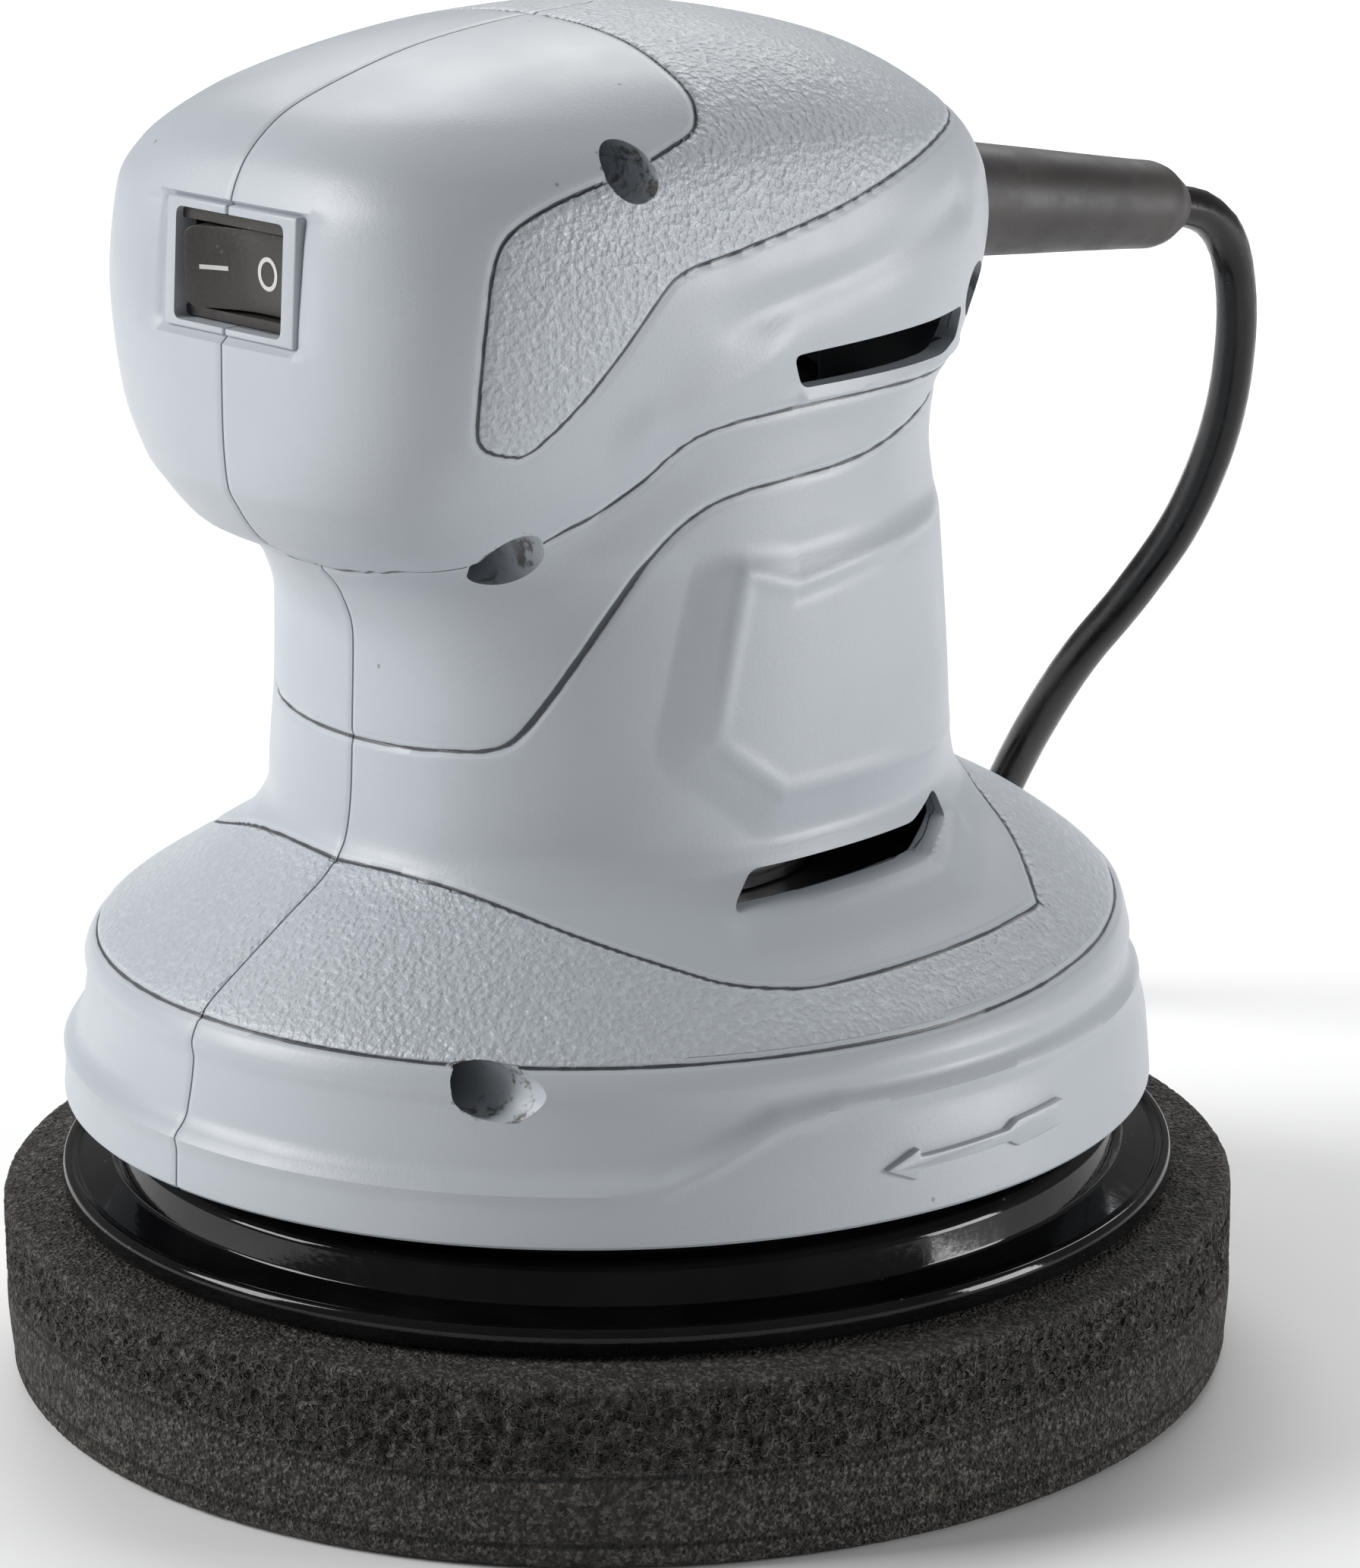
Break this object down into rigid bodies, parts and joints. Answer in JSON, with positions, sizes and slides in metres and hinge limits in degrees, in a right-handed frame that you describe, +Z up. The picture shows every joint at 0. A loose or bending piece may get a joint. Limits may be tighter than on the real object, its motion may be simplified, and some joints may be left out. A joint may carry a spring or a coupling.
{
  "type": "orbital sander",
  "caption": "Palm orbital sander-polisher: waisted clamshell housing with a rocker switch, a foam pad on an eccentric drive, and a mains lead.",
  "frame": {"origin": "on the motor's upright axis, in the plane of the foam pad's flat underside, on which the tool stands", "axes": "+Z up along the motor axis; -Y towards the switch face, the front; +Y the rear, where the lead leaves; +X the tool's side with the screw recesses. The housing halves meet in the plane X = 0."},
  "size_m": [0.2503, 0.2049, 0.1628],
  "materials": {
    "housing_plastic": "pale blue-grey moulded ABS, satin with fine-textured panels",
    "black_plastic": "satin black moulding",
    "gloss_black_plastic": "gloss black moulding",
    "foam": "charcoal open-cell polyurethane foam",
    "black_rubber": "soft black PVC, low sheen",
    "bright_steel": "turned steel",
    "dark_steel": "black-oxide steel",
    "ferrite": "dark grey ferrite",
    "copper": "enamelled copper",
    "carbon": "pressed carbon",
    "inner_plastic": "black glass-filled nylon",
    "cast_alloy": "die-cast alloy",
    "circuit_board": "green solder mask",
    "capacitor_sleeve": "blue heat-shrunk sleeve",
    "brass": "bright brass",
    "lead_insulation": "red PVC insulation"
  },
  "bodies": {
    "housing": {"bearing_plate": "inner_plastic", "capacitor": "capacitor_sleeve", "carbon_brush_front": "carbon", "carbon_brush_rear": "carbon", "circuit_board": "circuit_board", "clamp_screw_1": "dark_steel", "clamp_screw_2": "dark_steel", "coil_tie": "black_plastic", "cord": "black_rubber", "cord_clamp": "black_plastic", "cord_coil": "black_rubber", "cord_inner_end": "black_rubber", "cord_tail": "black_rubber", "end_bell": "inner_plastic", "housing_left": "housing_plastic", "housing_right": "housing_plastic", "housing_screw_crown": "dark_steel", "housing_screw_head_rear": "dark_steel", "housing_screw_skirt_front": "dark_steel", "housing_screw_skirt_rear": "dark_steel", "housing_screw_under_head": "dark_steel", "lead_live": "lead_insulation", "lead_neutral": "lead_insulation", "lower_bearing": "bright_steel", "magnet_left": "ferrite", "magnet_right": "ferrite", "motor_can": "bright_steel", "plug_blade_1": "brass", "plug_blade_2": "brass", "plug_body": "black_rubber", "rectifier": "inner_plastic", "strain_relief": "black_rubber", "switch_body": "black_plastic", "switch_terminal_1": "brass", "switch_terminal_2": "brass", "upper_bearing": "bright_steel"},
    "rotor": {"motor_shaft": "bright_steel", "armature_core": "dark_steel", "winding_lower": "copper", "winding_upper": "copper", "commutator": "copper", "cooling_fan": "inner_plastic", "eccentric_hub": "cast_alloy", "counterweight": "bright_steel", "pad_bearing": "bright_steel"},
    "pad": {"pad_spindle": "bright_steel", "pad_screw": "bright_steel", "pad_washer": "bright_steel", "backing_plate": "gloss_black_plastic", "foam_pad": "foam"},
    "rocker": {"switch_rocker": "black_plastic"}
  },
  "joints": [
    {"name": "rotor_spin", "type": "hinge", "parent": "housing", "child": "rotor", "pos_m": [0, 0, 0.085], "axis": [0, 0, 1], "continuous": true},
    {"name": "pad_spin", "type": "hinge", "parent": "rotor", "child": "pad", "pos_m": [0.0015, 0, 0.0368], "axis": [0, 0, 1], "continuous": true},
    {"name": "rocker_switch", "type": "hinge", "parent": "housing", "child": "rocker", "pos_m": [0.0004, -0.0477, 0.1382], "axis": [0, 0, -1], "range_deg": [0, 20]}
  ]
}
